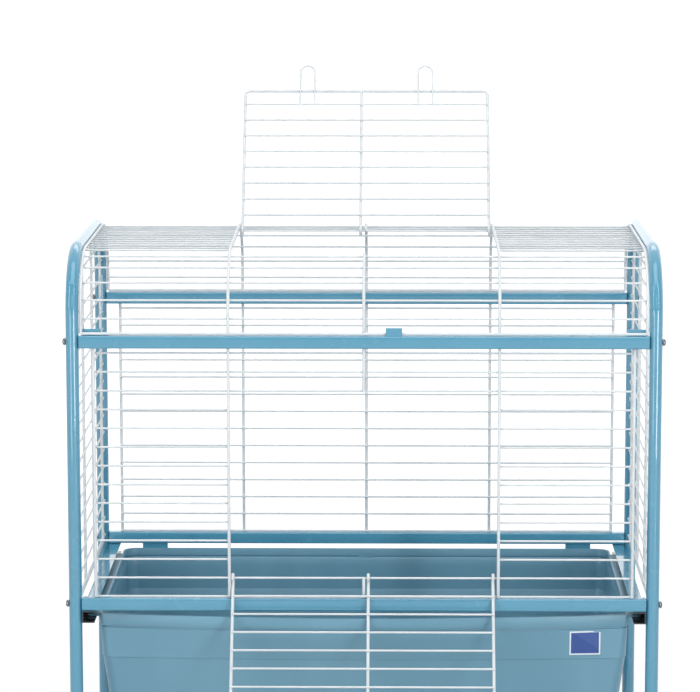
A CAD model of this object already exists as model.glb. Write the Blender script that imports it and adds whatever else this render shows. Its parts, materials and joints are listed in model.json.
"""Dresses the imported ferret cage: a tube frame, white wire grilles, two open doors and a litter pan.

Sizes are in millimetres in the cage's own frame, whose Y starts at the middle of the hoops. The
mesh builder turns them into metres in the row frame, so every piece lands on its CAD node.
"""

import json
import logging
import math
from dataclasses import dataclass, field
from enum import Enum

import bmesh
import bpy
from mathutils import Matrix, Vector

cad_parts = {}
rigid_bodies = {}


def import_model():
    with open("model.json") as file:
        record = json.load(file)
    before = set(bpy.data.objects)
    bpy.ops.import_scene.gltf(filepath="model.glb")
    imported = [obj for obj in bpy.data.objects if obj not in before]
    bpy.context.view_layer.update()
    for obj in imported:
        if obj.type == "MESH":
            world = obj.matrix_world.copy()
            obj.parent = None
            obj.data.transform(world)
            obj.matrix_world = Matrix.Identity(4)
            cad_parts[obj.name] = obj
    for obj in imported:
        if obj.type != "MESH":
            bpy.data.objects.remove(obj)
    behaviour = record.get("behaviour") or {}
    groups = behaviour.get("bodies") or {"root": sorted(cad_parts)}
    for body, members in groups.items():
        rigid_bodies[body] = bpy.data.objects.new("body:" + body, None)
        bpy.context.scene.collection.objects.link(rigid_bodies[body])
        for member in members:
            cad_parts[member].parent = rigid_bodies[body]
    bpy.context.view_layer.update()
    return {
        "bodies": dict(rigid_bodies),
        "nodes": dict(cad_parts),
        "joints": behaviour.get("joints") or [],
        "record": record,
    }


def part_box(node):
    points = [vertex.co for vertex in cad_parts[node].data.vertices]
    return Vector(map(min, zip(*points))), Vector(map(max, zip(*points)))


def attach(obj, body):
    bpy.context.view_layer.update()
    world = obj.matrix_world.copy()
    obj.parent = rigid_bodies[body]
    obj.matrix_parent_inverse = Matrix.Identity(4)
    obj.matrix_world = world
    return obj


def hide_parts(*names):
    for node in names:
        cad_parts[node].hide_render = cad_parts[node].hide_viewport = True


LOG = logging.getLogger("ferret_cage")
MM = 0.001

Colour = tuple[int, int, int]
Pair = tuple[float, float]
Triple = tuple[float, float, float]
Socket = bpy.types.NodeSocket

X_AXIS = Vector((1, 0, 0))
Y_AXIS = Vector((0, 1, 0))
Z_AXIS = Vector((0, 0, 1))

WELD_DEPTH = 0.3  # how far crossing wires sink into each other
FIT_GAP = 0.3  # room between two pieces that fit over or into each other
WELD_RISE = 1.2  # half size of the coating pooled on a weld, from one wire to the other
WELD_REACH = 1.75  # and along the wires
THICK_SIDES = 16
THIN_SIDES = 12
WIRE_BEND_STEPS = 14
PIECE_CREASE = 35.0  # degrees above which an edge stays sharp
WIRE_CREASE = 50.0
PAN_CREASE = 40.0

FRONT_DOOR_PLAY = 1.0  # the front door hangs this far left of the middle
FRONT_DOOR_LEAN = math.radians(32.1965)  # from straight down, out over the rail and the pan
ROOF_DOOR_LEAN = math.radians(33)  # past upright, thrown back


class Named(Enum):
    """A choice whose lower-case name is part of the nodes' names."""

    @property
    def word(self) -> str:
        """The choice as nodes' names have it."""
        return self.name.lower()


class Side(Named):
    """The cage's two hands, with their sign on X."""

    LEFT = -1
    RIGHT = 1


class Row(Named):
    """The cage's front and rear, with their sign on Y."""

    FRONT = -1
    REAR = 1


class Ending(Enum):
    """How the end of a rod is finished."""

    FLAT = "cut square"
    DOME = "rounded over"


class Slot(Enum):
    """The record's material slots that the pieces of this script carry."""

    PAINT = "frame_paint"
    WIRE = "wire_coat"
    CHROME = "screw_chrome"
    ZINC = "caster_zinc"
    PAN = "pan_plastic"
    TYRE = "wheel_plastic"
    SOCKET = "socket_plastic"


class Sum(Enum):
    """What a calculating node does, as Blender names it."""

    SIZE = "ABSOLUTE"
    DIFFERENCE = "SUBTRACT"
    PRODUCT = "MULTIPLY"
    LARGER = "MAXIMUM"
    BELOW = "LESS_THAN"
    ABOVE = "GREATER_THAN"


# ---------------------------------------------------------------------------------------------
# Centre lines and meshes
# ---------------------------------------------------------------------------------------------


def bent_line(corners: list[Vector], radius: float, steps: int) -> list[Vector]:
    """Turns a run of corners into a centre line with round bends.

    Args:
        corners: The line's corners, in order.
        radius: Radius of the centre line at each inner corner.
        steps: Steps round each bend.

    Returns:
        The points of the line, from the first corner to the last.
    """
    points = [corners[0]]
    for before, corner, after in zip(corners, corners[1:], corners[2:]):
        into = (corner - before).normalized()
        out = (after - corner).normalized()
        turn = into.angle(out)
        start = corner - into * radius * math.tan(turn / 2)
        inward = (out - into * out.dot(into)).normalized()
        for i in range(steps + 1):
            angle = turn * i / steps
            points.append(
                start + into * radius * math.sin(angle) + inward * radius * (1 - math.cos(angle))
            )
    points.append(corners[-1])
    return points


def round_section(radius: float, sides: int) -> list[Pair]:
    """Returns the points of a circle, as pairs across the centre line."""
    step = math.tau / sides
    return [(radius * math.cos(i * step), radius * math.sin(i * step)) for i in range(sides)]


def square_section(half: float, rounding: float, steps: int) -> list[Pair]:
    """Returns the outline of a square bar with round corners.

    Args:
        half: Half of the bar's width.
        rounding: Radius of its corners.
        steps: Steps round each corner.

    Returns:
        Pairs across the centre line, in order round it.
    """
    points = []
    for quarter in range(4):
        middle = math.pi / 4 + quarter * math.pi / 2
        cx = math.copysign(half - rounding, math.cos(middle))
        cy = math.copysign(half - rounding, math.sin(middle))
        for i in range(steps + 1):
            angle = quarter * math.pi / 2 + math.pi / 2 * i / steps
            points.append((cx + rounding * math.cos(angle), cy + rounding * math.sin(angle)))
    return points


def both_ends(end: list[Pair]) -> list[Pair]:
    """Returns a turned form's profile from its upper end's, the same way up and down."""
    return [(radius, -height) for radius, height in end] + end[::-1]


@dataclass
class MeshBuilder:
    """Collects closed forms in millimetres and makes one object of them.

    Attributes:
        middle_y: The hoops' middle on Y in the row frame, in millimetres.
        points: The points so far.
        faces: The faces so far, by their points' numbers.
    """

    middle_y: float
    points: list[Vector] = field(default_factory=list)
    faces: list[tuple[int, ...]] = field(default_factory=list)

    def add_rings(self, rings: list[list[Vector]], looped: bool = False) -> None:
        """Skins rings of equal counts in order.

        Args:
            rings: The rings, each in order round the form.
            looped: Whether the last ring joins the first. Otherwise both are capped.
        """
        first = len(self.points)
        count = len(rings[0])
        for ring in rings:
            self.points.extend(ring)
        for r in range(len(rings) if looped else len(rings) - 1):
            low = first + r * count
            high = first + (r + 1) % len(rings) * count
            for i in range(count):
                j = (i + 1) % count
                self.faces.append((low + i, low + j, high + j, high + i))
        if not looped:
            last = first + (len(rings) - 1) * count
            self.faces.append(tuple(reversed(range(first, first + count))))
            self.faces.append(tuple(range(last, last + count)))

    def add_sweep(self, line: list[Vector], section: list[Pair], across: Vector,
                  ending: Ending = Ending.FLAT) -> None:
        """Sweeps a section along a line that lies in one plane.

        Args:
            line: The centre line.
            section: Pairs across the line, the first along `across`.
            across: The direction square to the line's plane.
            ending: How both ends are finished.
        """
        reach = max(math.hypot(a, b) for a, b in section)
        rings = []
        for i, point in enumerate(line):
            into = (point - line[i - 1]).normalized() if i else None
            out = (line[i + 1] - point).normalized() if i + 1 < len(line) else None
            along = ((into or out) + (out or into)).normalized()
            mitre = 1.0 / max(along.dot(out or into), 0.5)
            upward = along.cross(across).normalized()
            rings.append([point + across * a + upward * b * mitre for a, b in section])
        if ending is Ending.DOME:
            height = reach * 0.5
            start = self._dome(line[0], line[1], rings[0], height)
            end = self._dome(line[-1], line[-2], rings[-1], height)
            rings = start[::-1] + rings[1:-1] + end
        self.add_rings(rings)

    @staticmethod
    def _dome(end: Vector, inner: Vector, ring: list[Vector], height: float) -> list[list[Vector]]:
        """Rounds one end of a swept form over, within its length.

        Args:
            end: The end of the centre line.
            inner: The centre line's next point.
            ring: The form's ring at that end.
            height: How far the rounding reaches along the line.

        Returns:
            The rings, from the form to the tip.
        """
        back = (inner - end).normalized() * height
        rings = []
        for share in (0.0, 0.35, 0.65, 0.87):
            shrink = math.sqrt(1 - share * share)
            rings.append([end + back * (1 - share) + (p - end) * shrink for p in ring])
        return rings

    def add_rod(self, a: Vector, b: Vector, section: list[Pair]) -> None:
        """Adds a straight rod with its ends rounded over.

        Args:
            a: One end.
            b: The other end.
            section: The rod's outline.
        """
        across = (b - a).normalized().orthogonal().normalized()
        self.add_sweep([a, b], section, across, Ending.DOME)

    def add_turned(self, origin: Vector, axis: Vector, profile: list[Pair], sides: int) -> None:
        """Turns a profile round an axis.

        Args:
            origin: Where the axis starts.
            axis: Its direction.
            profile: Pairs of radius and distance along the axis. Where the last pair is the
                first again, the form is a ring.
            sides: Steps round the axis.
        """
        u = axis.orthogonal().normalized()
        v = axis.cross(u).normalized()
        least = 0.01
        ring_shaped = profile[0] == profile[-1]
        rings = []
        for radius, height in profile[:-1] if ring_shaped else profile:
            r = max(radius, least)
            rings.append([
                origin + axis * height
                + u * r * math.cos(math.tau * i / sides) + v * r * math.sin(math.tau * i / sides)
                for i in range(sides)
            ])
        self.add_rings(rings, looped=ring_shaped)

    def add_ball(self, centre: Vector, radii: Triple) -> None:
        """Adds a small oval blob, such as the coating pooled round a weld.

        Args:
            centre: Its middle.
            radii: Its half sizes on X, Y and Z.
        """
        stacks, sides = 5, 8
        rings = []
        for k in range(1, stacks):
            lift = math.pi * k / stacks
            turns = [math.tau * i / sides for i in range(sides)]
            rings.append([centre + Vector((
                radii[0] * math.sin(lift) * math.cos(turn),
                radii[1] * math.sin(lift) * math.sin(turn),
                -radii[2] * math.cos(lift),
            )) for turn in turns])
        self.add_rings(rings)

    def add_weld(self, at: Vector, through: Vector) -> None:
        """Adds the coating pooled where two wires cross.

        Args:
            at: The point between the wires.
            through: Unit direction from one wire to the other.
        """
        self.add_ball(at, tuple(WELD_RISE if abs(c) > 0.5 else WELD_REACH for c in through))

    def add_plate(self, outline: list[Vector], through: Vector, edge: float) -> None:
        """Adds a flat plate with softened edges.

        Args:
            outline: The plate's outline on one face, in order.
            through: The plate's thickness, from that face to the other.
            edge: How far the edges are softened.
        """
        centre = sum(outline, Vector()) / len(outline)
        depth = through.normalized() * edge

        def drawn_in(point: Vector) -> Vector:
            """Returns a point of the outline, moved towards the plate's middle."""
            inward = centre - point
            return point + inward.normalized() * min(edge, inward.length * 0.5)

        face = [drawn_in(p) for p in outline]
        self.add_rings([
            face, [p + depth for p in outline],
            [p + through - depth for p in outline], [p + through for p in face],
        ])

    def move(self, matrix: Matrix) -> None:
        """Moves every point."""
        self.points = [matrix @ point for point in self.points]

    def build(self, name: str, finish: bpy.types.Material, crease: float) -> bpy.types.Object:
        """Makes the object, in metres in the row frame.

        Args:
            name: The object's name.
            finish: Its material.
            crease: Angle in degrees above which an edge stays sharp.

        Returns:
            The object, linked to the scene.
        """
        mesh = bpy.data.meshes.new(name)
        shift = Vector((0, self.middle_y, 0))
        mesh.from_pydata([(p + shift) * MM for p in self.points], [], self.faces)
        form = bmesh.new()
        form.from_mesh(mesh)
        bmesh.ops.recalc_face_normals(form, faces=form.faces)
        form.to_mesh(mesh)
        form.free()
        mesh.validate()
        mesh.shade_smooth()
        mesh.set_sharp_from_angle(angle=math.radians(crease))
        mesh.materials.append(finish)
        made = bpy.data.objects.new(name, mesh)
        bpy.context.scene.collection.objects.link(made)
        return made


# ---------------------------------------------------------------------------------------------
# Finishes
# ---------------------------------------------------------------------------------------------


def linear(colour: Colour) -> tuple[float, float, float, float]:
    """Turns a colour on the usual 0 to 255 scale into linear light.

    Args:
        colour: Its red, green and blue.

    Returns:
        The colour in linear light, with an alpha of 1.
    """
    shares = [value / 255 for value in colour]
    return (*(v / 12.92 if v <= 0.04045 else ((v + 0.055) / 1.055) ** 2.4 for v in shares), 1.0)


class Wiring:
    """A node tree with short ways to add to it."""

    def __init__(self, tree: bpy.types.NodeTree) -> None:
        """Keeps the tree."""
        self.tree = tree

    def add(self, kind: str, **values: object) -> bpy.types.Node:
        """Adds a node.

        Args:
            kind: The node's type.
            **values: Properties of the node, or defaults of its inputs where it has none.

        Returns:
            The node.
        """
        node = self.tree.nodes.new(kind)
        for key, value in values.items():
            if hasattr(node, key):
                setattr(node, key, value)
            else:
                node.inputs[key.replace("_", " ")].default_value = value
        return node

    def feed(self, target: Socket, value: Socket | float | tuple[float, ...]) -> None:
        """Links an input to another node's socket, or sets it to a value.

        Args:
            target: The input.
            value: The other node's socket, or the value.
        """
        if isinstance(value, bpy.types.NodeSocket):
            self.tree.links.new(value, target)
        else:
            target.default_value = value

    def calculate(self, what: Sum, first: Socket, second: Socket | float = 0.0) -> Socket:
        """Calculates with one or two numbers.

        Args:
            what: What is calculated.
            first: The first number's socket.
            second: The second number, or its socket.

        Returns:
            The result's socket. It is 1 or 0 for a comparison.
        """
        node = self.add("ShaderNodeMath", operation=what.value)
        self.feed(node.inputs[0], first)
        self.feed(node.inputs[1], second)
        return node.outputs[0]

    def spread(self, factor: Socket, low: float, high: float, start: float = 0.3,
               end: float = 0.7) -> Socket:
        """Maps a socket onto a range.

        Args:
            factor: The socket, which is noise where no ends are given.
            low: Value where it is at `start` or less.
            high: Value where it is at `end` or more.
            start: Its lower end.
            end: Its upper end.

        Returns:
            The mapped socket.
        """
        node = self.add("ShaderNodeMapRange")
        for socket, value in zip(node.inputs[:5], (factor, start, end, low, high)):
            self.feed(socket, value)
        return node.outputs[0]


class Nodes(Wiring):
    """A material's node tree and its shader."""

    def __init__(self, name: str) -> None:
        """Makes the material and finds its shader.

        Args:
            name: The material's name.
        """
        self.material = bpy.data.materials.new(name)
        self.material.use_nodes = True
        super().__init__(self.material.node_tree)
        self.shader = self.tree.nodes["Principled BSDF"]
        self.place = self.tree.nodes.new("ShaderNodeTexCoord").outputs["Object"]

    def noise(self, scale: float, stretch: Triple = (1, 1, 1), detail: float = 3.0) -> Socket:
        """Adds noise in the piece's own metres.

        Args:
            scale: Features per metre.
            stretch: How many times finer the noise is along each axis.
            detail: Layers of finer noise.

        Returns:
            The noise's factor socket.
        """
        mapping = self.add("ShaderNodeMapping", Scale=stretch)
        texture = self.add("ShaderNodeTexNoise", Scale=scale, Detail=detail, Roughness=0.5)
        self.feed(mapping.inputs["Vector"], self.place)
        self.feed(texture.inputs["Vector"], mapping.outputs[0])
        return texture.outputs["Fac"]

    def mix(self, factor: Socket, first: Socket | tuple[float, ...],
            second: Socket | tuple[float, ...]) -> Socket:
        """Mixes two colours.

        Args:
            factor: How much of the second colour.
            first: Colour where the factor is 0, or its socket.
            second: Colour where it is 1, or its socket.

        Returns:
            The mixed colour's socket.
        """
        node = self.add("ShaderNodeMix", data_type="RGBA")
        for number, value in ((0, factor), (6, first), (7, second)):
            self.feed(node.inputs[number], value)
        return node.outputs[2]

    def drift(self, factor: Socket, colour: Colour, shade: Colour) -> Socket:
        """Returns a colour that drifts to its shade as the factor goes from 0 to 1."""
        return self.mix(factor, linear(colour), linear(shade))

    def surface(self, colour: Socket, dull_scale: float, dullness: Pair) -> None:
        """Gives the surface its colour and a gloss that differs a little from place to place.

        Args:
            colour: The colour's socket.
            dull_scale: How many glossy and dull patches there are per metre.
            dullness: Its lowest and highest roughness.
        """
        self.feed(self.shader.inputs["Base Color"], colour)
        self.feed(self.shader.inputs["Roughness"], self.spread(self.noise(dull_scale), *dullness))

    def bump(self, height: Socket, distance: float, strength: float) -> None:
        """Roughens the surface's normal.

        Args:
            height: The height's socket.
            distance: Full height in metres.
            strength: How much of it shows.
        """
        node = self.add("ShaderNodeBump", Distance=distance, Strength=strength)
        self.feed(node.inputs["Height"], height)
        self.feed(self.shader.inputs["Normal"], node.outputs[0])


@dataclass(frozen=True)
class GlossPaint:
    """Baked gloss enamel on steel, under a clear gloss with a faint orange peel.

    Attributes:
        name: The material's name.
        colour: Its main colour.
        shade: Its colour in the darker clouds.
        clouds: Clouds per metre.
        patches: Glossy and dull patches per metre.
        dullness: Its lowest and highest roughness.
        peel: Features of the orange peel per metre.
    """

    name: str = "gloss_enamel"
    colour: Colour = (84, 154, 182)
    shade: Colour = (78, 148, 177)
    clouds: float = 9.0
    patches: float = 60.0
    dullness: Pair = (0.24, 0.28)
    peel: float = 420.0

    def material(self) -> bpy.types.Material:
        """Makes the paint.

        Returns:
            The material.
        """
        nodes = Nodes(self.name)
        nodes.surface(self.tint(nodes), self.patches, self.dullness)
        self.lacquer(nodes)
        return nodes.material

    def tint(self, nodes: Nodes) -> Socket:
        """Returns the socket of the paint's colour, in soft clouds."""
        return nodes.drift(nodes.spread(nodes.noise(self.clouds), 0, 1), self.colour, self.shade)

    def lacquer(self, nodes: Nodes) -> None:
        """Adds the clear gloss over the colour, with its orange peel.

        Args:
            nodes: The material's nodes.
        """
        gloss = {"Specular IOR Level": 0.25, "Coat Weight": 1.0, "Coat Roughness": 0.04,
                 "Coat IOR": 1.55}
        for socket, value in gloss.items():
            nodes.shader.inputs[socket].default_value = value
        nodes.bump(nodes.noise(self.peel, detail=1), distance=0.0003, strength=0.05)


@dataclass(frozen=True)
class LinedChannel(GlossPaint):
    """The frame's enamel on a channel whose hollow and front end are dark and dull.

    Places are in metres in the row frame.

    Attributes:
        name: The material's name.
        dullness: Roughness of the paint and of the lining.
        low: Bottom of the hollow.
        high: Top of the hollow.
        reach: How far the hollow reaches from the cage's middle.
        front: The channels' front ends, on Y.
        lining: The hollow's colour.
        lining_shade: Its darker colour.
    """

    name: str = "lined_channel"
    dullness: Pair = (0.22, 0.6)
    low: float = 0.3237
    high: float = 0.3359
    reach: float = 0.3395
    front: float = -0.1601
    lining: Colour = (24, 28, 33)
    lining_shade: Colour = (16, 19, 23)

    def material(self) -> bpy.types.Material:
        """Makes the channel's paint and lining.

        Returns:
            The material.
        """
        nodes = Nodes(self.name)
        split = nodes.add("ShaderNodeSeparateXYZ")
        nodes.feed(split.inputs[0], nodes.place)
        x, y, z = split.outputs
        within = nodes.calculate(Sum.BELOW, nodes.calculate(Sum.SIZE, x), self.reach)
        over = nodes.calculate(Sum.ABOVE, z, self.low)
        under = nodes.calculate(Sum.BELOW, z, self.high)
        hollow = nodes.calculate(Sum.PRODUCT, within, nodes.calculate(Sum.PRODUCT, over, under))
        end = nodes.calculate(Sum.BELOW, y, self.front)
        dark = nodes.calculate(Sum.LARGER, hollow, end)
        cloud = nodes.spread(nodes.noise(self.clouds), 0, 1)
        lining = nodes.drift(cloud, self.lining, self.lining_shade)
        nodes.feed(nodes.shader.inputs["Base Color"], nodes.mix(dark, self.tint(nodes), lining))
        nodes.feed(nodes.shader.inputs["Roughness"], nodes.spread(dark, *self.dullness, 0, 1))
        self.lacquer(nodes)
        return nodes.material


@dataclass(frozen=True)
class WireCoat:
    """White coating on wire, a little duller in places.

    Attributes:
        name: The material's name.
        colour: Its main colour.
        shade: Its colour in the darker clouds.
        clouds: Clouds per metre.
        patches: Glossy and dull patches per metre.
        dullness: Its lowest and highest roughness.
        grain: Features of the grain per metre.
    """

    name: str = "white_wire_coat"
    colour: Colour = (223, 228, 230)
    shade: Colour = (214, 220, 223)
    clouds: float = 30.0
    patches: float = 90.0
    dullness: Pair = (0.28, 0.42)
    grain: float = 900.0

    def material(self) -> bpy.types.Material:
        """Makes the coating.

        Returns:
            The material.
        """
        nodes = Nodes(self.name)
        cloud = nodes.spread(nodes.noise(self.clouds), 0, 1)
        nodes.surface(nodes.drift(cloud, self.colour, self.shade), self.patches, self.dullness)
        nodes.bump(nodes.noise(self.grain, detail=1), distance=0.0003, strength=0.04)
        return nodes.material


@dataclass(frozen=True)
class PolishedMetal:
    """Plated metal with fine turning marks and a few dull patches.

    Attributes:
        name: The material's name.
        colour: Its main colour.
        dullness: Its lowest and highest roughness.
        darkening: How much of the colour is left in the darker clouds.
        clouds: Clouds per metre.
        patches: Glossy and dull patches per metre.
        marks: Turning marks per metre.
    """

    name: str
    colour: Colour
    dullness: Pair
    darkening: float = 0.88
    clouds: float = 160.0
    patches: float = 300.0
    marks: float = 700.0

    def material(self) -> bpy.types.Material:
        """Makes the metal.

        Returns:
            The material.
        """
        nodes = Nodes(self.name)
        cloud = nodes.spread(nodes.noise(self.clouds), 0, 1)
        shade = tuple(int(value * self.darkening) for value in self.colour)
        nodes.surface(nodes.drift(cloud, self.colour, shade), self.patches, self.dullness)
        nodes.shader.inputs["Metallic"].default_value = 1.0
        nodes.bump(nodes.noise(self.marks, (1, 1, 6), 1), distance=0.0002, strength=0.2)
        return nodes.material


@dataclass(frozen=True)
class MouldedPlastic:
    """Injection moulded plastic with soft upright flow bands and a fine grain.

    Attributes:
        name: The material's name.
        colour: Its main colour.
        shade: Its colour in the darker flow bands.
        dullness: Its lowest and highest roughness.
        grain: Features of the grain per metre.
        bands: Flow bands per metre.
        patches: Glossy and dull patches per metre.
    """

    name: str
    colour: Colour
    shade: Colour
    dullness: Pair
    grain: float
    bands: float = 7.0
    patches: float = 40.0

    def material(self) -> bpy.types.Material:
        """Makes the plastic.

        Returns:
            The material.
        """
        nodes = Nodes(self.name)
        flow = nodes.spread(nodes.noise(self.bands, (1, 1, 0.12), 2), 0, 1, 0.36, 0.64)
        nodes.surface(nodes.drift(flow, self.colour, self.shade), self.patches, self.dullness)
        nodes.bump(nodes.noise(self.grain, detail=2), distance=0.0003, strength=0.18)
        return nodes.material


@dataclass(frozen=True)
class PlainLabel:
    """A printed label: a plain blue field inside a white border.

    Attributes:
        middle: The label's middle on X and Z, in metres in the row frame.
        half: Half of its width and of its height, in metres.
        name: The material's name.
        border: Width of the white border, in metres.
        blues: The field's two colours.
        whites: The border's two colours.
        speckles: Features of the print per metre.
        patches: Glossy and dull patches per metre.
        dullness: Its lowest and highest roughness.
    """

    middle: Pair
    half: Pair
    name: str = "blank_label"
    border: float = 0.0018
    blues: tuple[Colour, Colour] = ((44, 74, 140), (52, 84, 152))
    whites: tuple[Colour, Colour] = ((228, 236, 242), (220, 229, 236))
    speckles: float = 120.0
    patches: float = 200.0
    dullness: Pair = (0.3, 0.4)

    def material(self) -> bpy.types.Material:
        """Makes the label's print.

        Returns:
            The material.
        """
        nodes = Nodes(self.name)
        split = nodes.add("ShaderNodeSeparateXYZ")
        nodes.feed(split.inputs[0], nodes.place)
        outside = []
        for axis, middle, half in zip("XZ", self.middle, self.half):
            away = nodes.calculate(Sum.DIFFERENCE, split.outputs[axis], middle)
            size = nodes.calculate(Sum.SIZE, away)
            outside.append(nodes.calculate(Sum.ABOVE, size, half - self.border))
        speckle = nodes.noise(self.speckles)
        field_print = nodes.drift(speckle, *self.blues)
        border_print = nodes.drift(speckle, *self.whites)
        on_border = nodes.calculate(Sum.LARGER, *outside)
        printed = nodes.mix(on_border, field_print, border_print)
        nodes.surface(printed, self.patches, self.dullness)
        return nodes.material


def shared_finishes() -> dict[Slot, bpy.types.Material]:
    """Makes the finish of every slot.

    Returns:
        The materials, by slot.
    """
    finishes = {
        Slot.PAINT: GlossPaint(),
        Slot.WIRE: WireCoat(),
        Slot.CHROME: PolishedMetal("chrome_screw", (122, 126, 130), (0.08, 0.16)),
        Slot.ZINC: PolishedMetal("bright_zinc", (176, 182, 187), (0.28, 0.42)),
        Slot.PAN: MouldedPlastic("pan_plastic", (113, 159, 180), (104, 150, 171), (0.3, 0.4), 700),
        Slot.TYRE: MouldedPlastic("wheel_plastic", (38, 39, 42), (31, 32, 35), (0.42, 0.6), 900),
        Slot.SOCKET: MouldedPlastic("socket_plastic", (40, 42, 45), (33, 35, 38), (0.35, 0.5), 900),
    }
    return {slot: finish.material() for slot, finish in finishes.items()}


# ---------------------------------------------------------------------------------------------
# The cage
# ---------------------------------------------------------------------------------------------


@dataclass(frozen=True)
class Layout:
    """Sizes that the sub-assemblies share, in millimetres.

    Attributes:
        middle_y: The hoops' middle on Y in the row frame.
        hoop_x: Where the hoops stand on X.
        leg_y: Where the legs stand on Y.
        bottom_rail: Height of the bottom rails' middle.
        top_rail: Height of the top rails' middle.
        roof: Height of the hoops' centre line on the roof.
        bend: Radius of that line's bends.
        tube: Radius of the hoops' tube.
        rail_half: Half of a rail's width.
        thick: Radius of a thick wire.
        thin: Radius of a thin wire.
        pitch: From one thin wire to the next.
        opening_x: Where the thick wires beside the doorways are on X.
    """

    middle_y: float
    hoop_x: float = 349.0
    leg_y: float = 195.2
    bottom_rail: float = 345.0
    top_rail: float = 665.5
    roof: float = 770.25
    bend: float = 75.0
    tube: float = 7.95
    rail_half: float = 7.5
    thick: float = 1.9
    thin: float = 1.25
    pitch: float = 22.9
    opening_x: float = 162.4

    @property
    def layer(self) -> float:
        """How far the thin wires' middles lie behind the thick wires'."""
        return self.thick + self.thin - WELD_DEPTH

    @property
    def weld_layer(self) -> float:
        """How far the welds' middles lie behind the thick wires'."""
        return self.thick - WELD_DEPTH / 2

    @property
    def rail_end(self) -> float:
        """Half of a rail's length."""
        return self.hoop_x - self.tube - FIT_GAP

    @property
    def thick_section(self) -> list[Pair]:
        """A thick wire's outline."""
        return round_section(self.thick, THICK_SIDES)

    @property
    def thin_section(self) -> list[Pair]:
        """A thin wire's outline."""
        return round_section(self.thin, THIN_SIDES)

    def arch(self, x: float, foot: float, inset: float = 0.0,
             steps: int = WIRE_BEND_STEPS) -> list[Vector]:
        """Returns the inverted U that the hoops and the grilles share.

        Args:
            x: Where it stands.
            foot: Height of its ends.
            inset: How far it lies inside the hoops' centre line.
            steps: Steps round each bend.

        Returns:
            The points of its centre line, from the front foot to the rear foot.
        """
        y = self.leg_y - inset
        top = self.roof - inset
        corners = [(-y, foot), (-y, top), (y, top), (y, foot)]
        return bent_line([Vector((x, a, b)) for a, b in corners], self.bend - inset, steps)


@dataclass
class Assembly:
    """What every sub-assembly shares.

    Attributes:
        layout: The shared sizes.
        finishes: The materials, by slot.
    """

    layout: Layout
    finishes: dict[Slot, bpy.types.Material]

    def builder(self) -> MeshBuilder:
        """Returns an empty mesh builder."""
        return MeshBuilder(self.layout.middle_y)

    def hand_in(self, made: MeshBuilder, name: str, slot: Slot, node: str, body: str = "frame",
                crease: float = PIECE_CREASE) -> None:
        """Makes a piece and puts it on its body, in the place of its node.

        Args:
            made: The piece's mesh.
            name: The piece's name.
            slot: The record's material slot.
            node: The node that it replaces.
            body: The body that carries it.
            crease: Angle in degrees above which an edge stays sharp.
        """
        piece = made.build(name, self.finishes[slot], crease)
        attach(piece, body)
        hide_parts(node)
        LOG.info("%s: %d faces on %s", name, len(piece.data.polygons), body)


@dataclass(frozen=True)
class Tab:
    """A small flat tab on a rail.

    Attributes:
        x: Its middle.
        width: Its width.
        height: How far it stands out of the rail, down if negative.
        row: The face of the rail that it stands at.
    """

    x: float
    width: float
    height: float
    row: Row


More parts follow.
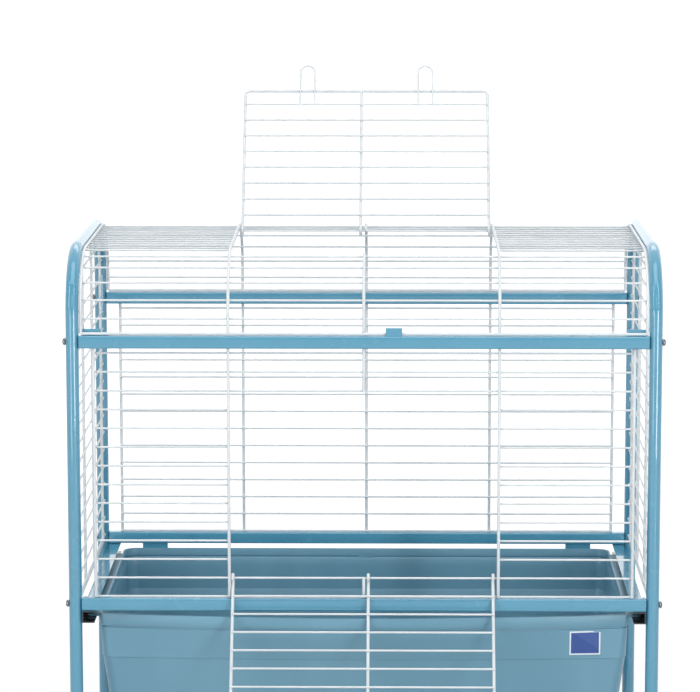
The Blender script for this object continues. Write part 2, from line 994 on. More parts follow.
@dataclass
class TubeFrame:
    """The two hoops, the four rails with their tabs, and the screws.

    Attributes:
        base: The shared sizes and finishes.
        foot: Height of the tubes' lower ends.
        tube_sides: Sides round a hoop's tube.
        tube_bend_steps: Steps round its bends.
        rail_rounding: Radius of the rails' edges.
        rail_steps: Steps round each of them.
        latch_tab: The tab at the middle of the front top rail.
        shell_tab: The right one of the two that hold the top shell.
        stop_tab: The right one of the two that stop the pan.
        tab_thickness: Thickness of a tab.
        tab_stand_off: How far its middle lies from the rail's middle.
        tab_sink: How far it reaches into the rail.
        tab_chamfer: How far its corners are cut.
        tab_edge: How far its edges are softened.
        head_radius: Radius of a screw's head.
        head_height: Height of the head.
        shank: Radius of the screw's shank.
        grip: How far the shank reaches into the rail.
    """

    base: Assembly
    foot: float = 65.3
    tube_sides: int = 32
    tube_bend_steps: int = 24
    rail_rounding: float = 1.9
    rail_steps: int = 5
    latch_tab: Tab = Tab(36.0, 19.6, 10.0, Row.FRONT)
    shell_tab: Tab = Tab(326.0, 22.0, 7.5, Row.REAR)
    stop_tab: Tab = Tab(280.0, 33.0, -20.0, Row.FRONT)
    tab_thickness: float = 1.5
    tab_stand_off: float = 4.2
    tab_sink: float = 0.7
    tab_chamfer: float = 0.4
    tab_edge: float = 0.25
    head_radius: float = 4.4
    head_height: float = 3.6
    shank: float = 2.5
    grip: float = 8.0

    def build(self) -> None:
        """Builds and dresses every piece of the frame."""
        layout = self.base.layout
        for side in Side:
            self.hoop(side)
        for row in Row:
            for level, z in (("top", layout.top_rail), ("bottom", layout.bottom_rail)):
                name = f"{row.word}_{level}_rail"
                y = row.value * layout.leg_y
                self.rail(name, y, z)
                for side in Side:
                    self.screw(name, side, y, z)

    def hoop(self, side: Side) -> None:
        """Builds one bent tube.

        Args:
            side: Which hoop it is.
        """
        layout = self.base.layout
        made = self.base.builder()
        line = layout.arch(side.value * layout.hoop_x, self.foot, steps=self.tube_bend_steps)
        made.add_sweep(line, round_section(layout.tube, self.tube_sides), X_AXIS * side.value)
        name = f"{side.word}_hoop"
        self.base.hand_in(made, f"{name}_tube", Slot.PAINT, name)

    def rail(self, name: str, y: float, z: float) -> None:
        """Builds one square rail with its tabs.

        Args:
            name: The rail's node.
            y: Its middle, front to back.
            z: Its middle, in height.
        """
        layout = self.base.layout
        made = self.base.builder()
        end = layout.rail_end
        section = square_section(layout.rail_half, self.rail_rounding, self.rail_steps)
        made.add_sweep([Vector((-end, y, z)), Vector((end, y, z))], section, Y_AXIS)
        if name == "front_top_rail":
            self.add_tab(made, self.latch_tab, self.latch_tab.x, y, z)
        paired = {"front_top_rail": self.shell_tab, "rear_bottom_rail": self.stop_tab}
        if name in paired:
            for side in Side:
                self.add_tab(made, paired[name], side.value * paired[name].x, y, z)
        self.base.hand_in(made, f"{name}_bar", Slot.PAINT, name)

    def add_tab(self, made: MeshBuilder, tab: Tab, x: float, y: float, z: float) -> None:
        """Adds a flat tab that stands on a rail or hangs from it.

        Args:
            made: The rail's mesh.
            tab: The tab.
            x: The tab's middle.
            y: The rail's middle, front to back.
            z: The rail's middle, in height.
        """
        way = math.copysign(1, tab.height)
        surface = self.base.layout.rail_half
        near = z + way * (surface - self.tab_sink)
        far = z + way * (surface + abs(tab.height))
        front = y + tab.row.value * self.tab_stand_off - self.tab_thickness / 2
        half = tab.width / 2
        cut = self.tab_chamfer
        corners = [(-half, near), (half, near), (half, far - way * cut), (half - cut, far),
                   (cut - half, far), (-half, far - way * cut)]
        outline = [Vector((x + a, front, b)) for a, b in corners]
        made.add_plate(outline, Y_AXIS * self.tab_thickness, self.tab_edge)

    def screw(self, rail: str, side: Side, y: float, z: float) -> None:
        """Builds one screw: a domed head with a recess in it, and a plain shank.

        Args:
            rail: The rail that it holds.
            side: The hoop that it goes through.
            y: Its axis, front to back.
            z: Its axis, in height.
        """
        layout = self.base.layout
        made = self.base.builder()
        under = layout.hoop_x + layout.tube + FIT_GAP
        tip = layout.rail_end - self.grip
        head = self.head_radius
        tall = self.head_height
        profile = [
            (self.shank - 0.6, tip), (self.shank, tip + 0.8), (self.shank, under),
            (head - 0.3, under), (head, under + 0.3), (head, under + tall * 0.3),
            (head * 0.93, under + tall * 0.55), (head * 0.75, under + tall * 0.8),
            (head * 0.5, under + tall * 0.93), (head * 0.3, under + tall * 0.93),
            (head * 0.22, under + tall * 0.5), (0, under + tall * 0.45),
        ]
        made.add_turned(Vector((0, y, z)), X_AXIS * side.value, profile, 24)
        self.base.hand_in(made, f"{rail}_{side.word}_bolt", Slot.CHROME,
                          f"{rail}_screw_{side.word}")


@dataclass
class Grilles:
    """The welded wire panels: the arched top shell, front and rear panels, and the two sides.

    Attributes:
        base: The shared sizes and finishes.
        panel_x: The flat panels' outer thick wires on X.
        outset: How far the flat panels stand outside the legs' middles.
        panel_foot: Height of the flat panels' lower edge.
        panel_head: Height of their upper edge.
        panel_wires: How many thin wires they have.
        opening_low: Number of the thin wire at the front doorway's foot.
        opening_high: And at its head.
        shell_foot: Height of the shell's lower edges.
        shell_first: Its first thin wire's place above them.
        shell_wires: How many thin wires it has.
        roof_low: Number of the thin wire at the roof doorway's front.
        roof_high: And at its back.
        side_inner: The side panels' inner thick wires on Y.
        side_first: Their first thin wire's place above the foot wire.
        bend_weld: Half sizes of the coating on the shell's welds.
    """

    base: Assembly
    panel_x: float = 323.85
    outset: float = 2.0
    panel_foot: float = 352.8
    panel_head: float = 657.7
    panel_wires: int = 14
    opening_low: int = 1
    opening_high: int = 11
    shell_foot: float = 675.2
    shell_first: float = 17.7
    shell_wires: int = 22
    roof_low: int = 4
    roof_high: int = 14
    side_inner: float = 62.0
    side_first: float = 11.5
    bend_weld: Triple = (1.75, 1.5, 1.5)

    def build(self) -> None:
        """Builds and dresses every grille."""
        for row in Row:
            self.flat_panel(row)
        self.shell()
        for side in Side:
            self.side_panel(side)

    def level(self, k: int) -> float:
        """Returns the height of a flat panel's thin wire, by its number from the foot."""
        return self.panel_foot + self.base.layout.thin + k * self.base.layout.pitch

    def flat_panel(self, row: Row) -> None:
        """Builds a flat panel between the rails. The front one has a doorway.

        Args:
            row: Which panel it is.
        """
        layout = self.base.layout
        made = self.base.builder()
        thick, thin = layout.thick_section, layout.thin_section
        y = row.value * (layout.leg_y + self.outset)
        thin_y = y - row.value * layout.layer
        weld_y = y - row.value * layout.weld_layer
        columns = (-self.panel_x, -layout.opening_x, 0.0, layout.opening_x, self.panel_x)
        low = self.level(self.opening_low) + layout.thin
        high = self.level(self.opening_high) - layout.thin
        for x in columns:
            spans = [(self.panel_foot, self.panel_head)]
            if row is Row.FRONT and x == 0.0:
                spans = [(self.panel_foot, low), (high, self.panel_head)]
            for a, b in spans:
                made.add_rod(Vector((x, y, a)), Vector((x, y, b)), thick)
        end = self.panel_x + layout.thick
        edge = layout.opening_x - layout.thick
        for k in range(self.panel_wires):
            z = self.level(k)
            broken = row is Row.FRONT and self.opening_low < k < self.opening_high
            for a, b in [(-end, -edge), (edge, end)] if broken else [(-end, end)]:
                made.add_rod(Vector((a, thin_y, z)), Vector((b, thin_y, z)), thin)
            for x in columns:
                if not (broken and x == 0.0):
                    made.add_weld(Vector((x, weld_y, z)), Y_AXIS)
        name = f"{row.word}_panel"
        self.base.hand_in(made, f"{name}_grille", Slot.WIRE, name, crease=WIRE_CREASE)

    def shell_place(self, k: int, inset: float) -> Vector:
        """Returns the place of a thin wire of the shell, at X = 0.

        Args:
            k: The wire's number from the front.
            inset: How far inside the thick wires it lies.

        Returns:
            Its place.
        """
        layout = self.base.layout
        rise = layout.roof - layout.bend - self.shell_foot
        bend_length = layout.bend * math.pi / 2
        flat = 2 * (layout.leg_y - layout.bend)
        length = 2 * (rise + bend_length) + flat
        along = self.shell_first + k * layout.pitch
        from_end = min(along, length - along)
        side = 1 if along > length / 2 else -1
        inner = layout.bend - inset
        if from_end < rise:
            return Vector((0, side * (layout.leg_y - inset), self.shell_foot + from_end))
        turn = min((from_end - rise) / layout.bend, math.pi / 2)
        on_roof = max(from_end - rise - bend_length, 0)
        y = side * (layout.leg_y - layout.bend + inner * math.cos(turn) - on_roof)
        return Vector((0, y, self.shell_foot + rise + inner * math.sin(turn)))

    def shell(self) -> None:
        """Builds the arched front, roof and back in one grille, with the roof doorway."""
        layout = self.base.layout
        made = self.base.builder()
        thick, thin = layout.thick_section, layout.thin_section
        edge_x = layout.rail_end - layout.thick
        for x in (-edge_x, -layout.opening_x, layout.opening_x, edge_x):
            made.add_sweep(layout.arch(x, self.shell_foot), thick, X_AXIS)
        front = self.shell_place(self.roof_low, layout.layer).y + layout.thin
        back = self.shell_place(self.roof_high, layout.layer).y - layout.thin
        middle = layout.arch(0, self.shell_foot)
        half = len(middle) // 2
        made.add_sweep(self.cut_at(middle[:half], front, 1), thick, X_AXIS, Ending.DOME)
        made.add_sweep(self.cut_at(middle[half:], back, -1), thick, X_AXIS, Ending.DOME)
        for y in (-layout.leg_y, layout.leg_y):
            ends = [Vector((x, y, self.shell_foot)) for x in (-edge_x, edge_x)]
            made.add_rod(*ends, thick)
        inner = layout.opening_x - layout.thick
        for k in range(self.shell_wires):
            place = self.shell_place(k, layout.layer)
            broken = self.roof_low < k < self.roof_high
            for a, b in [(-edge_x, -inner), (inner, edge_x)] if broken else [(-edge_x, edge_x)]:
                made.add_rod(place + X_AXIS * a, place + X_AXIS * b, thin)
            spot = self.shell_place(k, layout.weld_layer)
            for x in (-edge_x, -layout.opening_x, 0.0, layout.opening_x, edge_x):
                if not (broken and x == 0.0):
                    made.add_ball(spot + X_AXIS * x, self.bend_weld)
        self.base.hand_in(made, "top_shell_grille", Slot.WIRE, "top_shell", crease=WIRE_CREASE)

    @staticmethod
    def cut_at(line: list[Vector], y: float, way: int) -> list[Vector]:
        """Ends half of an arch where the doorway starts.

        Args:
            line: The half arch's centre line.
            y: Where it ends.
            way: 1 if it runs up to that place, -1 if it starts there.

        Returns:
            The shortened line.
        """
        nearest = 0.5
        kept = [p for p in line if way * p.y < way * y - nearest]
        beyond = [p for p in line if way * p.y >= way * y - nearest]
        z = max(p.z for p in line)
        if beyond:
            a, b = (kept[-1], beyond[0]) if way > 0 else (kept[0], beyond[-1])
            z = a.z + (b.z - a.z) * (y - a.y) / (b.y - a.y)
        end = Vector((line[0].x, y, z))
        return kept + [end] if way > 0 else [end] + kept

    def side_panel(self, side: Side) -> None:
        """Builds the arched grille inside one hoop.

        Args:
            side: Which hoop it is.
        """
        layout = self.base.layout
        made = self.base.builder()
        thick, thin = layout.thick_section, layout.thin_section
        x = side.value * layout.hoop_x
        inset = layout.tube + FIT_GAP + layout.thick
        foot = layout.bottom_rail - layout.rail_half + layout.thick
        edge = layout.leg_y - inset
        bend = layout.bend - inset
        top = layout.roof - inset
        made.add_sweep(layout.arch(x, foot, inset), thick, X_AXIS * side.value)
        made.add_rod(Vector((x, -edge, foot)), Vector((x, edge, foot)), thick)
        for y in (-self.side_inner, self.side_inner):
            made.add_rod(Vector((x, y, foot)), Vector((x, y, top)), thick)
        thin_x = x - side.value * layout.layer
        weld_x = x - side.value * layout.weld_layer
        z = foot + self.side_first
        while z < top - 2 * layout.thick:
            over = max(z - (top - bend), 0)
            end = edge - bend + math.sqrt(bend ** 2 - over ** 2)
            made.add_rod(Vector((thin_x, -end, z)), Vector((thin_x, end, z)), thin)
            for y in (-end, -self.side_inner, self.side_inner, end):
                made.add_weld(Vector((weld_x, y, z)), X_AXIS)
            z += layout.pitch
        name = f"{side.word}_side_panel"
        self.base.hand_in(made, f"{name}_grille", Slot.WIRE, name, crease=WIRE_CREASE)


@dataclass
class WireDoor:
    """One wire door, made shut and standing up from its hinge, then turned into place.

    Attributes:
        base: The shared sizes and finishes.
        name: The door's node and body.
        hinge: The hinge's place in the cage.
        turn: Rotation from the shut door's frame into the cage's.
        gap: From its outer wires to the doorway's.
        middle_offset: Where its middle wire stands on X.
        wires: How many thin wires it has.
        length: From the hinge to its far edge.
        corner: Radius of its corners.
        latch_x: Where its latch loops stand on X.
        latch_width: Width of a loop.
        latch_reach: How far a loop reaches past the far edge.
        clearance: Room between a curl and the hinge wire.
        eye_angle: How far a curl goes round that wire, in degrees.
        root_weld: Half sizes of the coating at a loop's feet.
    """

    base: Assembly
    name: str
    hinge: Vector
    turn: Matrix
    gap: float = 5.3
    middle_offset: float = 6.5
    wires: int = 8
    length: float = 204.2
    corner: float = 6.0
    latch_x: float = 76.5
    latch_width: float = 18.5
    latch_reach: float = 35.6
    clearance: float = 0.8
    eye_angle: float = 250.0
    root_weld: Triple = (1.8, 1.5, 1.8)

    @property
    def eye(self) -> float:
        """Radius of a curl's centre line."""
        return self.base.layout.thin + self.clearance + self.base.layout.thick

    @property
    def thin_y(self) -> float:
        """The thin wires' layer."""
        return -self.eye + self.base.layout.layer

    @property
    def weld_y(self) -> float:
        """The welds' layer."""
        return -self.eye + self.base.layout.weld_layer

    def build(self) -> None:
        """Builds the door and dresses it."""
        layout = self.base.layout
        made = self.base.builder()
        thick, thin = layout.thick_section, layout.thin_section
        door_x = layout.opening_x - self.gap
        corners = [(-door_x, 0), (-door_x, self.length), (door_x, self.length), (door_x, 0)]
        frame = bent_line([Vector((x, -self.eye, z)) for x, z in corners], self.corner, 8)
        made.add_sweep(frame, thick, Y_AXIS)
        far_end = Vector((self.middle_offset, -self.eye, self.length))
        made.add_sweep([far_end] + self.curl(self.middle_offset), thick, X_AXIS, Ending.DOME)
        for x in (-door_x, door_x):
            made.add_sweep(self.curl(x), thick, X_AXIS, Ending.DOME)
        for k in range(1, self.wires + 1):
            z = k * layout.pitch
            made.add_rod(Vector((-door_x, self.thin_y, z)), Vector((door_x, self.thin_y, z)), thin)
            for x in (-door_x, self.middle_offset, door_x):
                made.add_weld(Vector((x, self.weld_y, z)), Y_AXIS)
        self.add_latches(made)
        made.move(Matrix.Translation(self.hinge) @ self.turn)
        self.base.hand_in(made, f"{self.name}_grille", Slot.WIRE, self.name, self.name,
                          WIRE_CREASE)

    def curl(self, x: float) -> list[Vector]:
        """Returns the centre line of a curl round the hinge wire.

        Args:
            x: Where the curl is.

        Returns:
            Its points, from the door's wire round to its end.
        """
        steps = 20
        turns = [math.pi + math.radians(self.eye_angle) * i / steps for i in range(steps + 1)]
        return [Vector((x, self.eye * math.cos(a), self.eye * math.sin(a))) for a in turns]

    def add_latches(self, made: MeshBuilder) -> None:
        """Adds the two wire loops that hook over the doorway's edge.

        Args:
            made: The door's mesh.
        """
        layout = self.base.layout
        root = self.wires * layout.pitch
        tip = self.length + self.latch_reach
        half = self.latch_width / 2
        for place in (-self.latch_x, self.latch_x):
            low, high = place - half, place + half
            corners = [(low, root), (low, tip), (high, tip), (high, root)]
            loop = [Vector((x, self.thin_y, z)) for x, z in corners]
            made.add_sweep(bent_line(loop, half - 0.01, 10), layout.thin_section, Y_AXIS)
            for x in (low, high):
                made.add_weld(Vector((x, self.weld_y, self.length)), Y_AXIS)
                made.add_ball(Vector((x, self.thin_y, root)), self.root_weld)


@dataclass
class LitterPan:
    """The deep moulded pan, with a bowed front, a moulded step and lips for the channels.

    Attributes:
        base: The shared sizes and finishes.
        half_width: Half of its width at the rim.
        top_drop: How far its rim lies below the bottom rails' middle.
        depth: Its depth.
        wall: Its wall.
        rim_band: Depth of the rim's band.
        rim_stand: How far the band stands out of the wall.
        groove: How far the wall is drawn in under the band.
        inner_groove: Depth of the groove inside the rim.
        inner_groove_drop: How far that groove lies below the rim's top.
        bridge_width: Width of the bridge that breaks it at the back.
        edge: Rounding of the rim's edges.
        bow: How far the front bulges at the rim.
        step_bow: And at the step.
        upper_draft: How far the wall leans in per millimetre above the step.
        lower_draft: And below it.
        corner: Radius of its corners.
        front_corner: Radius of the front ones at the rim.
        corner_growth: How much they grow per millimetre down.
        step_drop: How far the step lies below the rim's top.
        step: How far the step is drawn in.
        back: Its back edge on Y.
        front: Its front corners on Y.
        lip_thickness: Thickness of the lips.
        lip_width: How far they stand out.
        channel_bottom: Underside of the channels.
        channel_wall: The channels' wall.
    """

    base: Assembly
    half_width: float = 321.0
    top_drop: float = 13.5
    depth: float = 205.0
    wall: float = 3.0
    rim_band: float = 14.4
    rim_stand: float = 1.0
    groove: float = 1.3
    inner_groove: float = 1.5
    inner_groove_drop: float = 9.6
    bridge_width: float = 21.0
    edge: float = 0.8
    bow: float = 25.5
    step_bow: float = 11.4
    upper_draft: float = 0.02
    lower_draft: float = 0.125
    corner: float = 16.0
    front_corner: float = 6.0
    corner_growth: float = 0.14
    step_drop: float = 54.5
    step: float = 0.8
    back: float = 189.25
    front: float = -190.2
    lip_thickness: float = 3.0
    lip_width: float = 16.0
    channel_bottom: float = 322.4
    channel_wall: float = 1.5

    @property
    def top(self) -> float:
        """Height of the rim's top."""
        return self.base.layout.bottom_rail - self.top_drop

    def build(self) -> None:
        """Builds the pan and dresses it."""
        made = self.base.builder()
        made.add_rings([self.ring(*level) for level in self.levels()])
        self.add_lips(made)
        self.add_bridge(made)
        self.base.hand_in(made, "litter_pan_tub", Slot.PAN, "litter_pan", crease=PAN_CREASE)

    def levels(self) -> list[Triple]:
        """Lists the pan's rings, up outside and down inside.

        Returns:
            The inset, the bow and the drop of each.
        """
        step = self.step_drop
        floor = self.depth - self.wall
        outer_drops = [
            self.depth - 10, 160.0, 120.0, 85.0, step + 6, step + 1.6, step + 1.0, step + 0.4,
            step, step - 0.5, step - 6, 40.0, 28.0, self.rim_band + 3.2,
        ]
        inner_drops = [self.rim_band, 24.0, 38.0, step - 1.5, step - 0.5, step + 0.5, step + 1.5,
                       85.0, 120.0, 160.0, floor - 10]
        outer = [(self.inset(d), self.bow_at(d), d) for d in outer_drops]
        inner = [(self.inset(d) + self.wall, self.bow_at(d), d) for d in inner_drops]
        deep = self.inset(floor) + self.wall
        bottom = self.inset(self.depth)
        start = [(bottom + 9, 0.0, self.depth), (bottom + 3.5, 0.0, self.depth - 1.0),
                 (bottom + 1.0, 0.0, self.depth - 4.0)]
        end = [(deep + 0.9, 0.0, floor - 4.5), (deep + 3.0, 0.0, floor - 1.2),
               (deep + 8.0, 0.0, floor)]
        rim = [(inset, self.bow, drop) for inset, drop in self.rim_profile()]
        return start + outer + rim + inner + end

    def rim_profile(self) -> list[Pair]:
        """Lists the rim's outline: the groove under its band, its top, and the inner groove.

        Returns:
            The inset and the drop of each point, from the outside over the top to the inside.
        """
        soft = self.edge
        turned = soft * 0.29
        band = self.rim_band
        under = self.inset(band) + self.groove
        cut = self.wall - self.inner_groove
        ledge = self.inner_groove_drop
        return [
            (under, band + 2.2), (under, band + 0.2), (self.rim_stand * 0.4, band + 0.05),
            (0.25, band - 0.15), (0.0, band - 0.6),
            (0.0, soft), (turned, turned), (soft, 0.0),
            (self.wall - soft, 0.0), (self.wall - turned, turned), (self.wall, soft),
            (self.wall, ledge - 0.2), (cut, ledge), (cut, ledge + 1.3), (self.wall, ledge + 1.5),
        ]

    def inset(self, drop: float) -> float:
        """Tells how far the wall's outer face lies inside the rim's edge.

        Args:
            drop: Depth below the rim's top.

        Returns:
            The inset there.
        """
        below = max(drop - self.step_drop, 0)
        stepped = self.step * min(below, 1.0)
        upper = self.upper_draft * min(drop, self.step_drop)
        return self.rim_stand + upper + self.lower_draft * below + stepped

    def bow_at(self, drop: float) -> float:
        """Tells how far the front wall bulges.

        Args:
            drop: Depth below the rim's top.

        Returns:
            The bulge there.
        """
        if drop <= self.rim_band:
            return self.bow
        if drop <= self.step_drop:
            share = (drop - self.rim_band) / (self.step_drop - self.rim_band)
            return self.bow + (self.step_bow - self.bow) * share
        return self.step_bow * (1 - (drop - self.step_drop) / (self.depth - self.step_drop))

    def ring(self, inset: float, bow: float, drop: float) -> list[Vector]:
        """Returns the pan's outline at one height.

        Args:
            inset: How far it lies inside the rim's edge.
            bow: How far its front bulges.
            drop: Its depth below the rim's top.

        Returns:
            The outline's points, in order round it.
        """
        half = self.half_width - inset
        back = self.back - inset
        front = self.front + inset
        corner_steps, bow_steps = 10, 40
        outline = []

        def arc(x: int, y: int, start: float, radius: float) -> None:
            """Adds the round corner on one side of the pan, left or right and back or front.

            Args:
                x: 1 on the right, -1 on the left.
                y: 1 at the back, -1 at the front.
                start: The angle that it starts at.
                radius: Its radius.
            """
            cx = x * (half - radius)
            cy = back - radius if y > 0 else front + radius
            for i in range(corner_steps + 1):
                angle = start + math.pi / 2 * i / corner_steps
                outline.append((cx + radius * math.cos(angle), cy + radius * math.sin(angle)))

        tight = min(self.front_corner + self.corner_growth * drop, self.corner)
        arc(1, 1, 0, self.corner)
        arc(-1, 1, math.pi / 2, self.corner)
        arc(-1, -1, math.pi, tight)
        for i in range(1, bow_steps):
            across = 2 * i / bow_steps - 1
            outline.append((across * (half - tight), front - bow * (1 - across ** 2)))
        arc(1, -1, math.pi * 1.5, tight)
        return [Vector((x, y, self.top - drop)) for x, y in outline]

    def add_bridge(self, made: MeshBuilder) -> None:
        """Adds the solid bridge that breaks the back wall's inner groove.

        Args:
            made: The pan's mesh.
        """
        half = self.bridge_width / 2
        y = self.back - self.wall * 0.4
        high = self.top - self.inner_groove_drop + 5.0
        low = self.top - self.inner_groove_drop - 3.0
        corners = [(-half, low), (half, low), (half, high), (-half, high)]
        outline = [Vector((x, y, z)) for x, z in corners]
        made.add_plate(outline, Y_AXIS * (-0.75 * self.wall), 0.3)

    def add_lips(self, made: MeshBuilder) -> None:
        """Adds the flat lips that ride on the channels.

        Args:
            made: The pan's mesh.
        """
        low = self.channel_bottom + self.channel_wall + FIT_GAP
        inside = self.half_width - self.wall / 2
        outside = self.half_width + self.lip_width
        half = (self.back - self.front) / 2 - self.corner
        middle = (self.back + self.front) / 2
        cut = 3
        corners = [(inside, -half), (outside - cut, -half), (outside, -half + cut),
                   (outside, half - cut), (outside - cut, half), (inside, half)]
        for side in Side:
            outline = [Vector((side.value * a, middle + b, low)) for a, b in corners]
            made.add_plate(outline, Z_AXIS * self.lip_thickness, 0.4)


@dataclass
class Caster:
    """One swivel caster under a leg: fork, axle and wheel.

    Attributes:
        base: The shared sizes and finishes.
        row: Whether it is a front or a rear one.
        side: Which hoop it stands under.
        radius: The wheel's radius.
        width: Its width.
        bore: Radius of its bore.
        trail: How far the axle lies behind the leg's axis.
        plate: Thickness of the fork's cheeks.
        crown_bottom: Underside of the fork's crown.
        crown_height: Thickness of the crown.
        crown_radius: Its radius.
        crown_bore: Radius of the hole in it.
        toe: Radius of the cheeks' round ends.
        side_gap: Room between the wheel and a cheek.
        ribs: How many ribs each side of the wheel has.
    """

    base: Assembly
    row: Row
    side: Side
    radius: float = 25.0
    width: float = 17.0
    bore: float = 3.3
    trail: float = 18.0
    plate: float = 2.0
    crown_bottom: float = 54.4
    crown_height: float = 3.0
    crown_radius: float = 13.0
    crown_bore: float = 4.3
    toe: float = 7.0
    side_gap: float = 0.8
    ribs: int = 6

    @property
    def corner(self) -> str:
        """The corner's name."""
        return f"{self.row.word}_{self.side.word}"

    @property
    def post(self) -> Vector:
        """The foot of the leg's axis, on the floor."""
        layout = self.base.layout
        return Vector((self.side.value * layout.hoop_x, self.row.value * layout.leg_y, 0))

    @property
    def hub(self) -> Vector:
        """The middle of the wheel."""
        return self.post + Vector((0, self.trail, self.radius))

    @property
    def cheek(self) -> float:
        """The fork cheeks' inner faces, from the wheel's middle."""
        return self.width / 2 + self.side_gap

    def build(self) -> None:
        """Builds the wheel, the axle and the fork, and dresses them."""
        self.wheel()
        self.axle()
        self.fork()

    def wheel(self) -> None:
        """Builds the wheel with its tread, dished sides, ribs and hub."""
        made = self.base.builder()
        half = self.width / 2
        r = self.radius
        flank = [
            (self.bore, half - 0.2), (self.bore + 0.4, half), (7.2, half), (7.8, half - 0.5),
            (8.2, half - 2.6), (9.0, half - 3.0), (17.5, half - 3.0), (18.4, half - 2.5),
            (18.9, half - 0.5), (19.4, half), (r - 2.6, half), (r - 1.2, half - 0.35),
            (r - 0.35, half - 1.2), (r, half - 2.6), (r, 2.2), (r - 0.5, 1.9),
        ]
        profile = both_ends(flank)
        made.add_turned(self.hub, X_AXIS, profile + profile[:1], 48)
        for i in range(self.ribs):
            angle = math.tau * i / self.ribs
            ray = Vector((0, math.cos(angle), math.sin(angle)))
            for side in Side:
                foot = self.hub + X_AXIS * side.value * (half - 2.4)
                made.add_rod(foot + ray * 7.6, foot + ray * 18.6, round_section(1.1, 10))
        self.base.hand_in(made, f"wheel_{self.corner}", Slot.TYRE, f"caster_wheel_{self.corner}",
                          f"caster_roller_{self.corner}")

    def axle(self) -> None:
        """Builds the riveted axle."""
        made = self.base.builder()
        head = self.cheek + self.plate + FIT_GAP
        rivet = [(2.2, head + 1.6), (3.6, head + 1.45), (4.3, head + 1.0), (4.5, head + 0.4),
                 (4.4, head), (3.0, head)]
        made.add_turned(self.hub, X_AXIS, both_ends(rivet), 24)
        self.base.hand_in(made, f"axle_{self.corner}", Slot.ZINC, f"caster_axle_{self.corner}",
                          f"caster_swivel_{self.corner}")

    def fork(self) -> None:
        """Builds the pressed fork: a round crown and two cheeks down to the axle."""
        made = self.base.builder()
        low = self.crown_bottom
        top = low + self.crown_height
        r = self.crown_radius
        bore = self.crown_bore
        profile = [(bore, low), (r - 0.8, low), (r, low + 0.5), (r, top - 1.0), (r - 0.9, top),
                   (9.2, top), (8.6, top - 0.5), (bore, top - 0.5), (bore, low)]
        made.add_turned(self.post, Z_AXIS, profile, 48)
        shoulder = math.sqrt(r ** 2 - (self.cheek + self.plate) ** 2)
        turns = [math.pi * i / 16 for i in range(17)]
        toe = [(self.trail - self.toe * math.cos(a), self.radius - self.toe * math.sin(a))
               for a in turns]
        outline = [(-shoulder, top - 1.2)] + toe + [(shoulder, top - 1.2)]
        for side in Side:
            face = [self.post + Vector((side.value * self.cheek, y, z)) for y, z in outline]
            made.add_plate(face, X_AXIS * side.value * self.plate, 0.35)
        self.base.hand_in(made, f"fork_{self.corner}", Slot.ZINC, f"caster_fork_{self.corner}",
                          f"caster_swivel_{self.corner}")


@dataclass
class CarriedNodes:
    """The CAD nodes that are shown as they are, with a finish of their own.

    Attributes:
        base: The shared sizes and finishes.
        nodes: The frame's nodes, by name.
    """

    base: Assembly
    nodes: dict[str, bpy.types.Object]

    def build(self) -> None:
        """Dresses the channels, the label, the sockets and the stems."""
        for side in Side:
            self.dress(f"{side.word}_channel", LinedChannel().material())
        for row in Row:
            for side in Side:
                corner = f"{row.word}_{side.word}"
                self.dress(f"leg_socket_{corner}", self.base.finishes[Slot.SOCKET])
                self.dress(f"caster_stem_{corner}", self.base.finishes[Slot.ZINC])
        low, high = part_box("pan_label")
        middle = ((low[0] + high[0]) / 2, (low[2] + high[2]) / 2)
        half = ((high[0] - low[0]) / 2, (high[2] - low[2]) / 2)
        self.dress("pan_label", PlainLabel(middle, half).material())

    def dress(self, name: str, finish: bpy.types.Material) -> None:
        """Gives a node its finish.

        Args:
            name: The node.
            finish: Its material.
        """
        mesh = self.nodes[name].data
        mesh.materials.clear()
        mesh.materials.append(finish)
        LOG.info("%s keeps its CAD shape", name)


# ---------------------------------------------------------------------------------------------
# The studio
# ---------------------------------------------------------------------------------------------


@dataclass(frozen=True)
class Lamp:
    """A soft rectangular lamp.

    Attributes:
        name: Its name.
        place: Where it hangs, in metres.
        size: Its width and height, in metres.
        power: Its power in watts.
        target: What it points at: the middle of the cage.
    """

    name: str
    place: Triple
    size: Pair
    power: float
    target: Triple = (0.0, 0.04, 0.5)

    def hang(self) -> None:
        """Adds the lamp to the scene."""
        light = bpy.data.lights.new(self.name, "AREA")
        light.shape = "RECTANGLE"
        light.size, light.size_y = self.size
        light.energy = self.power
        lamp = bpy.data.objects.new(self.name, light)
        lamp.location = self.place
        aim = Vector(self.target) - Vector(self.place)
        lamp.rotation_euler = aim.to_track_quat("-Z", "Y").to_euler()
        bpy.context.scene.collection.objects.link(lamp)


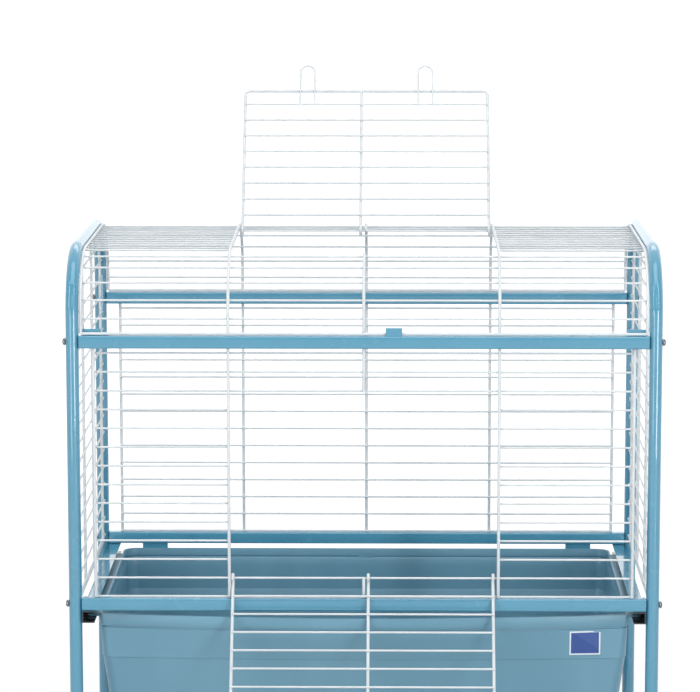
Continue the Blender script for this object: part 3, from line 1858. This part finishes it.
@dataclass
class Studio:
    """The pale floor, the white surroundings, the lamps and the camera, in metres.

    Attributes:
        floor_size: Width of the floor.
        world_front: How bright the surroundings are behind the camera.
        world_back: And behind the cage.
        glossy_gain: How much brighter they look in a reflection.
        camera_place: Where the camera stands.
        camera_yaw: How far it points to the right.
        camera_pitch: How far it points down.
        camera_roll: How far it is turned about its own line of sight.
        focal_pixels: Its focal length in pixels of a picture frame_pixels wide.
        frame_pixels: That picture's width.
        sensor: Width of its sensor, in millimetres.
        lamps: The lamps.
    """

    floor_size: float = 60.0
    world_front: float = 0.14
    world_back: float = 0.6
    glossy_gain: float = 2.2
    camera_place: Triple = (0.0353, -4.0571, 1.2530)
    camera_yaw: float = -0.01326
    camera_pitch: float = 0.15055
    camera_roll: float = -0.00048
    focal_pixels: float = 3303.3
    frame_pixels: float = 700.0
    sensor: float = 36.0
    lamps: tuple[Lamp, ...] = (
        Lamp("overhead_lamp", (0.0, -1.0, 3.4), (2.6, 2.2), 42.0),
        Lamp("front_lamp", (0.3, -3.4, 1.9), (1.6, 1.2), 10.0),
        Lamp("low_right_lamp", (1.5, -2.5, 0.5), (0.8, 0.8), 20.0),
        Lamp("low_left_lamp", (-1.4, -2.5, 0.5), (0.6, 0.8), 8.0),
        Lamp("left_strip", (-2.2, -1.9, 1.7), (0.14, 2.6), 27.0),
        Lamp("right_strip", (1.9, -2.2, 1.9), (0.14, 2.6), 22.0),
        Lamp("rear_lamp", (0.3, 2.6, 3.4), (2.4, 1.0), 15.0),
    )

    def build(self) -> None:
        """Sets the view, floor, surroundings, lamps and camera."""
        bpy.context.scene.view_settings.view_transform = "Standard"
        self.floor()
        self.world()
        for lamp in self.lamps:
            lamp.hang()
        self.camera()

    def floor(self) -> None:
        """Makes the floor: white to the eye, and it keeps the cage's soft shadow."""
        half = self.floor_size / 2
        mesh = bpy.data.meshes.new("studio_floor")
        corners = [(-half, -half, 0), (half, -half, 0), (half, half, 0), (-half, half, 0)]
        mesh.from_pydata(corners, [], [(0, 1, 2, 3)])
        nodes = Nodes("floor_white")
        speckle = nodes.spread(nodes.noise(3), 0, 1)
        nodes.feed(nodes.shader.inputs["Base Color"],
                   nodes.drift(speckle, (176, 177, 178), (170, 171, 172)))
        nodes.shader.inputs["Roughness"].default_value = 0.9
        path = nodes.add("ShaderNodeLightPath")
        seen = path.outputs["Is Camera Ray"]
        for kind in ("Is Glossy Ray", "Is Transmission Ray"):
            seen = nodes.calculate(Sum.LARGER, seen, path.outputs[kind])
        light = nodes.add("ShaderNodeEmission")
        nodes.feed(light.inputs["Strength"],
                   nodes.calculate(Sum.PRODUCT, seen, self.distance_glow(nodes)))
        both = nodes.add("ShaderNodeAddShader")
        nodes.feed(both.inputs[0], nodes.shader.outputs[0])
        nodes.feed(both.inputs[1], light.outputs[0])
        nodes.feed(nodes.tree.nodes["Material Output"].inputs["Surface"], both.outputs[0])
        mesh.materials.append(nodes.material)
        floor = bpy.data.objects.new("studio_floor", mesh)
        bpy.context.scene.collection.objects.link(floor)

    @staticmethod
    def distance_glow(nodes: Nodes) -> Socket:
        """Makes the floor glow less near the cage and fully white far from it.

        Args:
            nodes: The floor's nodes.

        Returns:
            The glow's socket.
        """
        length = nodes.add("ShaderNodeVectorMath", operation="LENGTH")
        nodes.feed(length.inputs[0], nodes.place)
        near, far = 0.8, 3.0
        return nodes.spread(length.outputs["Value"], 0.62, 1.0, near, far)

    def world(self) -> None:
        """Surrounds the scene with soft white light that looks pure white to the eye."""
        world = bpy.data.worlds.new("studio_white")
        bpy.context.scene.world = world
        world.use_nodes = True
        nodes = Wiring(world.node_tree)
        ground = nodes.tree.nodes["Background"]
        ground.inputs["Color"].default_value = (0.96, 0.98, 1.0, 1.0)
        split = nodes.add("ShaderNodeSeparateXYZ")
        nodes.feed(split.inputs[0], nodes.add("ShaderNodeTexCoord").outputs["Generated"])
        room = nodes.spread(split.outputs["Y"], self.world_front, self.world_back, -0.6, 0.6)
        path = nodes.add("ShaderNodeLightPath")
        lift = nodes.spread(path.outputs["Is Glossy Ray"], 1.0, self.glossy_gain, 0.0, 1.0)
        mirrored = nodes.calculate(Sum.PRODUCT, room, lift)
        strength = nodes.add("ShaderNodeMix")
        for number, value in ((0, path.outputs["Is Camera Ray"]), (2, mirrored), (3, 1.0)):
            nodes.feed(strength.inputs[number], value)
        nodes.feed(ground.inputs["Strength"], strength.outputs[0])

    def camera(self) -> None:
        """Adds the camera where the photograph was taken from."""
        lens = bpy.data.cameras.new("photo_camera")
        lens.sensor_width = self.sensor
        lens.lens = self.sensor * self.focal_pixels / self.frame_pixels
        lens.clip_end = 200.0
        camera = bpy.data.objects.new("photo_camera", lens)
        ahead = Vector((
            math.sin(self.camera_yaw) * math.cos(self.camera_pitch),
            math.cos(self.camera_yaw) * math.cos(self.camera_pitch),
            -math.sin(self.camera_pitch),
        ))
        turn = ahead.to_track_quat("-Z", "Y").to_matrix().to_4x4()
        roll = Matrix.Rotation(self.camera_roll, 4, "Z")
        camera.matrix_world = Matrix.Translation(self.camera_place) @ turn @ roll
        bpy.context.scene.collection.objects.link(camera)
        bpy.context.scene.camera = camera


def main() -> None:
    """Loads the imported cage, builds the studio and every sub-assembly, and keeps the sizes."""
    logging.basicConfig(level=logging.INFO, format="%(name)s: %(message)s")
    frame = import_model()
    Studio().build()
    low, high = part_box("left_hoop")
    layout = Layout(middle_y=(low[1] + high[1]) / 2 / MM)
    base = Assembly(layout, shared_finishes())
    CarriedNodes(base, frame["nodes"]).build()
    TubeFrame(base).build()
    grilles = Grilles(base)
    grilles.build()
    LitterPan(base).build()
    front_hinge = Vector((-FRONT_DOOR_PLAY, layout.layer - layout.leg_y - grilles.outset,
                          grilles.level(grilles.opening_low)))
    front_turn = Matrix.Rotation(math.pi - FRONT_DOOR_LEAN, 4, "X")
    WireDoor(base, "front_door", front_hinge, front_turn).build()
    roof_hinge = grilles.shell_place(grilles.roof_high, layout.layer)
    roof_turn = Matrix.Rotation(math.pi, 4, "Z") @ Matrix.Rotation(ROOF_DOOR_LEAN, 4, "X")
    WireDoor(base, "roof_door", roof_hinge, roof_turn).build()
    for row in Row:
        for side in Side:
            Caster(base, row, side).build()


if __name__ == "__main__":
    main()
